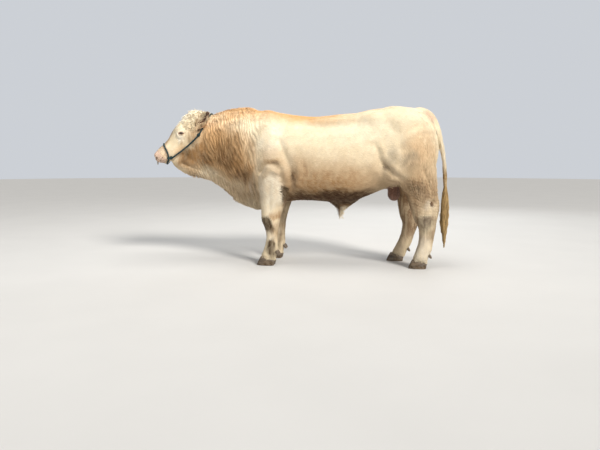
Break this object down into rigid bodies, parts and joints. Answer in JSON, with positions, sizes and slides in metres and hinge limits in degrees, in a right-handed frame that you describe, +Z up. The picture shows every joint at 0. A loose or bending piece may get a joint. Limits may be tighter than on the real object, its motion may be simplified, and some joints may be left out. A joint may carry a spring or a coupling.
{
  "type": "charolais bull",
  "caption": "Life-size standing bull of a heavy cream beef breed, head turned slightly left, with a rope halter and a nose ring; a still display model on its own hooves.",
  "frame": {"origin": "middle of the box's underside, on the floor between the hooves", "axes": "+X towards the tail (the bull faces -X), -Y towards its left side, +Z up"},
  "size_m": [2.6988, 0.7356, 1.4329],
  "materials": {
    "coat": "short cream coat, golden along the back, muddy on the legs",
    "bare_skin": "thinly haired pink-brown skin",
    "long_hair": "long golden-yellow hair",
    "horn": "dull grey-brown hoof horn",
    "eye": "wet dark brown",
    "rope": "dark teal twisted rope",
    "steel": "plain ring"
  },
  "bodies": {
    "root": {"head": "coat", "neck": "coat", "torso": "coat", "sheath": "coat", "scrotum": "bare_skin", "tail": "coat", "tail_switch": "long_hair", "ear_left": "coat", "ear_right": "coat", "eye_left": "eye", "eye_right": "eye", "upper_leg_fore_left": "coat", "upper_leg_fore_right": "coat", "upper_leg_hind_left": "coat", "upper_leg_hind_right": "coat", "shank_fore_left": "coat", "shank_fore_right": "coat", "shank_hind_left": "coat", "shank_hind_right": "coat", "claw_fore_left_outer": "horn", "claw_fore_left_inner": "horn", "claw_fore_right_outer": "horn", "claw_fore_right_inner": "horn", "claw_hind_left_outer": "horn", "claw_hind_left_inner": "horn", "claw_hind_right_outer": "horn", "claw_hind_right_inner": "horn", "dewclaw_fore_left_outer": "horn", "dewclaw_fore_left_inner": "horn", "dewclaw_fore_right_outer": "horn", "dewclaw_fore_right_inner": "horn", "dewclaw_hind_left_outer": "horn", "dewclaw_hind_left_inner": "horn", "dewclaw_hind_right_outer": "horn", "dewclaw_hind_right_inner": "horn", "halter_noseband": "rope", "halter_headstall": "rope", "nose_ring": "steel"}
  },
  "joints": []
}
